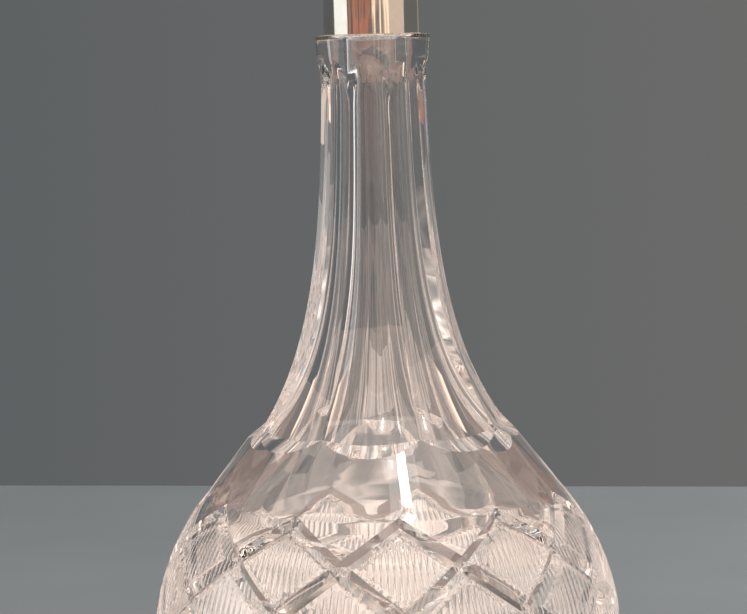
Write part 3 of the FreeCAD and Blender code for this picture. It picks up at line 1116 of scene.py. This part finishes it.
@dataclass(frozen=True)
class Lamp:
    """One soft area lamp: where it stands, what it aims at, its size, its radiance and its colour."""
    name: str
    place: tuple[float, float, float]
    size: tuple[float, float]
    radiance: float
    colour: str
    aim: tuple[float, float, float] = (0.0, 0.0, 0.15)
    reach: Reach = Reach.ALL
    web: float = 0.0        # metres across a cell of a net of bright lines on the lamp, 0 for an even lamp

    def light(self, receivers: dict[Reach, bpy.types.Collection]) -> None:
        """Adds the lamp to the scene. Its power is its radiance times pi times its area.

        Args:
            receivers: what each narrower reach lights.
        """
        data = bpy.data.lights.new(self.name, "AREA")
        data.shape = "RECTANGLE"
        data.size, data.size_y = self.size
        data.energy = self.radiance * math.pi * self.size[0] * self.size[1]
        data.color = linear(self.colour)[:3]
        if self.web:
            self.weave(data)
        lamp = bpy.data.objects.new(self.name, data)
        direction = Vector(self.aim) - Vector(self.place)
        turn = direction.to_track_quat("-Z", "Y").to_matrix().to_4x4()
        lamp.matrix_world = Matrix.Translation(self.place) @ turn
        lamp.visible_camera = False
        if self.reach in receivers:
            lamp.light_linking.receiver_collection = receivers[self.reach]
        bpy.context.scene.collection.objects.link(lamp)


    def weave(self, data: bpy.types.Light) -> None:
        """Gathers a lamp's light into a net of bright lines, as cut glass does with light on a table.

        Args:
            data: the lamp's settings.
        """
        data.use_nodes = True
        tree = data.node_tree
        tree.nodes.clear()
        place = add(tree, "ShaderNodeNewGeometry")
        cells = add(tree, "ShaderNodeTexVoronoi", {"feature": "DISTANCE_TO_EDGE"}, {
            "Vector": place.outputs["Position"], "Scale": 1 / self.web})
        lines = ramp(tree, cells.outputs["Distance"], [
            (0.0, grey(1.0)), (0.12, grey(0.5)), (0.25, grey(0.06)), (1.0, grey(0.03))])
        strength = add(tree, "ShaderNodeMath", {"operation": "MULTIPLY"}, {0: lines, 1: WEB_GAIN})
        glow = add(tree, "ShaderNodeEmission", inputs={"Strength": strength.outputs["Value"]})
        add(tree, "ShaderNodeOutputLight", inputs={"Surface": glow.outputs["Emission"]})


def beside(azimuth: float, distance: float, height: float) -> tuple[float, float, float]:
    """A point beside the decanter.

    Args:
        azimuth: in degrees from the front.
        distance: from the decanter's axis, in metres.
        height: above the table, in metres.
    Returns:
        The point's x, y and z.
    """
    angle = math.radians(azimuth)
    return distance * math.sin(angle), -distance * math.cos(angle), height


def back_card(name: str, x: float, y: float, z: float, size: tuple[float, float], radiance: float) -> Lamp:
    """A warm card of crumpled foil behind the decanter. It faces straight forward and lights only that.

    Args:
        name: its name.
        x: its centre to the right.
        y: its distance behind the decanter's axis.
        z: its height.
        size: its width and its height.
        radiance: how bright it is.
    Returns:
        The lamp.
    """
    return Lamp(name, (x, y, z), size, radiance, CARD, (x, 0.0, z), Reach.DECANTER, web=0.03)


@dataclass
class Studio:
    """The table, the soft lamps, the surrounding grey and the camera."""
    table_half: float = 0.52
    table_thick: float = 0.025
    camera_distance: float = 0.685
    camera_z: float = 0.2286
    pitch: float = 6.46
    yaw: float = 0.142
    roll: float = -1.52
    lens: float = 116.0
    wall_left: str = "#5E6163"
    wall_right: str = "#6B6B6A"
    wall_reach: float = 0.18        # sideways part of the direction at which the wall's shade settles
    table_turn: float = -8.4        # the board's turn, in degrees
    table_ease: float = 0.003
    lamps: tuple[Lamp, ...] = (
        Lamp("ceiling softbox", (0.0, -0.1, 1.25), (1.8, 1.8), 1.9, "#FFEBDD"),
        Lamp("upper front softbox", (0.0, -1.35, 1.05), (1.6, 0.8), 1.55, "#FFDFC9"),
        Lamp("upper left softbox", (-1.35, 0.1, 0.95), (1.2, 0.7), 1.25, "#FFDCC8"),
        Lamp("upper right softbox", (1.35, 0.1, 0.95), (1.2, 0.7), 1.2, "#FFD9C2"),
        Lamp("small key", beside(23, 0.384, 0.87), (0.075, 0.13), 15.0, "#FFFDFA"),
        Lamp("glow round the key", beside(23, 0.384, 0.872), (0.24, 0.2), 2.2, "#FFFDFA"),
        Lamp("side window", (0.62, 0.45, 0.66), (0.6, 0.5), 3.9, "#FFF6EC", (0.15, 0.35, 0.0),
             Reach.TABLE),
        back_card("low back card", 0.0, 0.21, 0.045, (0.62, 0.09), 0.28),
        *(back_card(f"low strip {i}", x, 0.21, 0.045, (width, 0.09), radiance)
          for i, (x, width, radiance) in enumerate(LOW_STRIPS, 1)),
        back_card("middle back card", 0.0, 0.22, 0.055, (0.56, 0.11), 0.16),
        back_card("high back card", 0.0, 0.23, 0.075, (0.46, 0.15), 0.06),
        Lamp("upper back card", (0.0, 1.0, 0.55), (1.4, 0.45), 0.14, "#FFB797"),
        Lamp("light gathered round the foot", (0.0, 0.0, 0.0006), (0.4, 0.4), 0.28, "#FFE0CE",
             (0.0, 0.0, 1.0), web=0.03),
        Lamp("white card", beside(-80, 0.9, 0.25), (0.66, 0.5), 1.0, "#FFFFFF"),
        Lamp("copper card", beside(-32, 0.95, 0.25), (1.04, 0.5), 0.2, "#FF8A50", web=0.12),
        Lamp("cream card", beside(20, 0.95, 0.25), (0.7, 0.5), 0.66, "#FFDCC2", web=0.16),
        Lamp("second cream card", beside(61, 0.95, 0.25), (0.7, 0.5), 0.55, "#FFE1CD"),
        Lamp("rim strip", beside(140, 0.9, 0.25), (0.06, 0.5), 0.35, "#FFF1E6"),
    )

    def table(self, wardrobe: Wardrobe) -> bpy.types.Object:
        """Adds the table top, a square board with an eased edge, and returns it.

        Args:
            wardrobe: holds the materials.
        Returns:
            Its object.
        """
        half = self.table_half / MM
        thick = self.table_thick / MM
        turn = math.radians(self.table_turn)
        sides = np.array([[-half, -half], [half, -half], [half, half], [-half, half]]) @ np.array([
            [math.cos(turn), math.sin(turn)], [-math.sin(turn), math.cos(turn)]])
        shell = Shell()
        under = shell.add_points(np.concatenate([sides, np.full((4, 1), -thick)], -1))
        top = shell.add_points(np.concatenate([sides, np.zeros((4, 1))], -1))
        shell.join(under, top)
        shell.add_quads(np.array([top, under[::-1]]))
        board = shell.build("table_top", 30.0)
        edge = board.modifiers.new("eased edge", "BEVEL")
        edge.width = self.table_ease
        edge.segments = 4
        board.data.materials.append(wardrobe.material(Finish.TABLE))
        return board

    def surroundings(self) -> None:
        """Sets the plain grey that is seen all round."""
        world = bpy.data.worlds.new("studio grey")
        bpy.context.scene.world = world
        world.use_nodes = True
        tree = world.node_tree
        tree.nodes.clear()
        place = add(tree, "ShaderNodeTexCoord")
        parts = add(tree, "ShaderNodeSeparateXYZ", inputs={"Vector": place.outputs["Generated"]})
        share = add(tree, "ShaderNodeMapRange", inputs={
            "Value": parts.outputs["X"], "From Min": -self.wall_reach, "From Max": self.wall_reach})
        wall = ramp(tree, share.outputs["Result"], [
            (0.0, linear(self.wall_left)), (1.0, linear(self.wall_right))])
        back = add(tree, "ShaderNodeBackground", inputs={"Color": wall})
        add(tree, "ShaderNodeOutputWorld", inputs={"Surface": back.outputs["Background"]})

    def camera(self) -> None:
        """Adds the camera, a little above the shoulder and looking down at it."""
        data = bpy.data.cameras.new("camera")
        data.lens = self.lens
        data.sensor_width = 36.0
        data.clip_start, data.clip_end = 0.01, 50.0
        camera = bpy.data.objects.new("camera", data)
        turn = (Matrix.Rotation(math.radians(self.yaw), 4, "Z")
                @ Matrix.Rotation(math.radians(90 - self.pitch), 4, "X")
                @ Matrix.Rotation(math.radians(self.roll), 4, "Z"))
        camera.matrix_world = Matrix.Translation((0.0, -self.camera_distance, self.camera_z)) @ turn
        bpy.context.scene.collection.objects.link(camera)
        bpy.context.scene.camera = camera

    def set_up(self, wardrobe: Wardrobe, pieces: list[bpy.types.Object]) -> None:
        """Builds the whole studio.

        Args:
            wardrobe: where the table's finish comes from.
            pieces: the decanter's pieces, which the cards light.
        """
        board = self.table(wardrobe)
        self.surroundings()
        self.camera()
        receivers = {Reach.DECANTER: bpy.data.collections.new("decanter pieces"),
                     Reach.TABLE: bpy.data.collections.new("table only")}
        receivers[Reach.TABLE].objects.link(board)
        for piece in pieces:
            receivers[Reach.DECANTER].objects.link(piece)
        for lamp in self.lamps:
            lamp.light(receivers)
        scene = bpy.context.scene
        scene.view_settings.view_transform = "Standard"
        scene.cycles.max_bounces = BOUNCES
        scene.cycles.transmission_bounces = BOUNCES
        scene.cycles.glossy_bounces = BOUNCES


def main() -> None:
    """Builds every piece in order."""
    logging.basicConfig(level=logging.INFO)
    wardrobe = Wardrobe()
    body, stopper = CrystalBody(), BallStopper()
    pieces = [body.build(), stopper.build()]
    body.dress(pieces[0], wardrobe)
    stopper.dress(pieces[1], wardrobe)
    pieces += SilverCollar().dress(wardrobe)
    for piece in pieces:
        LOG.info("%s: %d faces", piece.name, len(piece.data.polygons))
    pieces.append(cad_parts["collar_plaster"])
    Studio().set_up(wardrobe, pieces)


if __name__ == "__main__":
    main()
